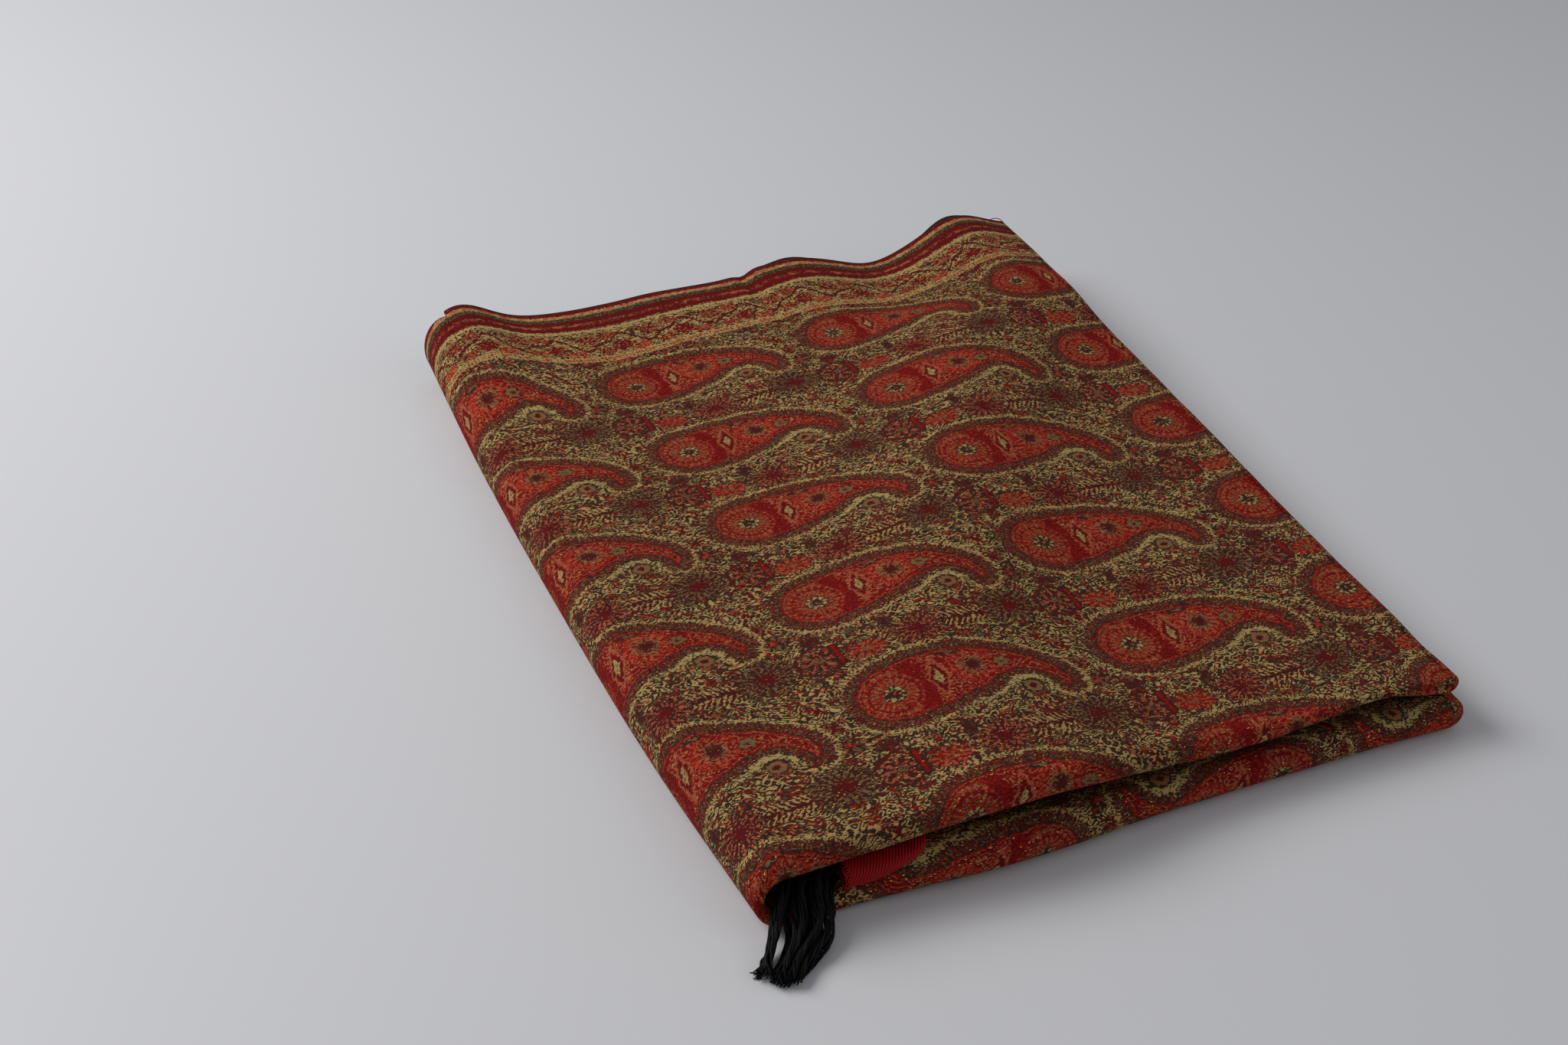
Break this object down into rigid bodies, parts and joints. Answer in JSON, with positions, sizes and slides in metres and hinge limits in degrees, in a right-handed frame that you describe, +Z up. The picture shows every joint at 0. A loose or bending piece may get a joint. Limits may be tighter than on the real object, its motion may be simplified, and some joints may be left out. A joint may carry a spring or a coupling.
{
  "type": "folded sari",
  "caption": "Folded sari of thick paisley jacquard, doubled across its width and turned into a flat pile, with a woven border and a black fringe at the near left corner",
  "frame": {"origin": "middle of the bounding box in plan, on the table", "axes": "+X runs along the length of the cloth towards the right folds, +Y across it towards the selvedges, +Z up from the table"},
  "size_m": [0.4568, 0.601, 0.0561],
  "materials": {
    "jacquard_top": "matt woven jacquard with long floats and a little metallic thread",
    "jacquard_left": "matt woven jacquard with long floats and a little metallic thread",
    "jacquard_second": "matt woven jacquard with long floats and a little metallic thread",
    "jacquard_bottom": "matt woven jacquard with long floats and a little metallic thread",
    "jacquard_lower_right": "matt woven jacquard with long floats and a little metallic thread",
    "jacquard_hidden": "matt woven jacquard, cut edges of the selvedges",
    "red_twill": "plain red twill with a slight silky sheen",
    "black_fringe": "soft black twisted yarn"
  },
  "bodies": {
    "root": {"top_stretch": "jacquard_top", "left_fold": "jacquard_left", "second_stretch": "jacquard_second", "bottom_stretch": "jacquard_bottom", "lower_right_fold": "jacquard_lower_right", "hidden_layers": "jacquard_hidden", "end_band": "red_twill", "fringe": "black_fringe"}
  },
  "joints": []
}
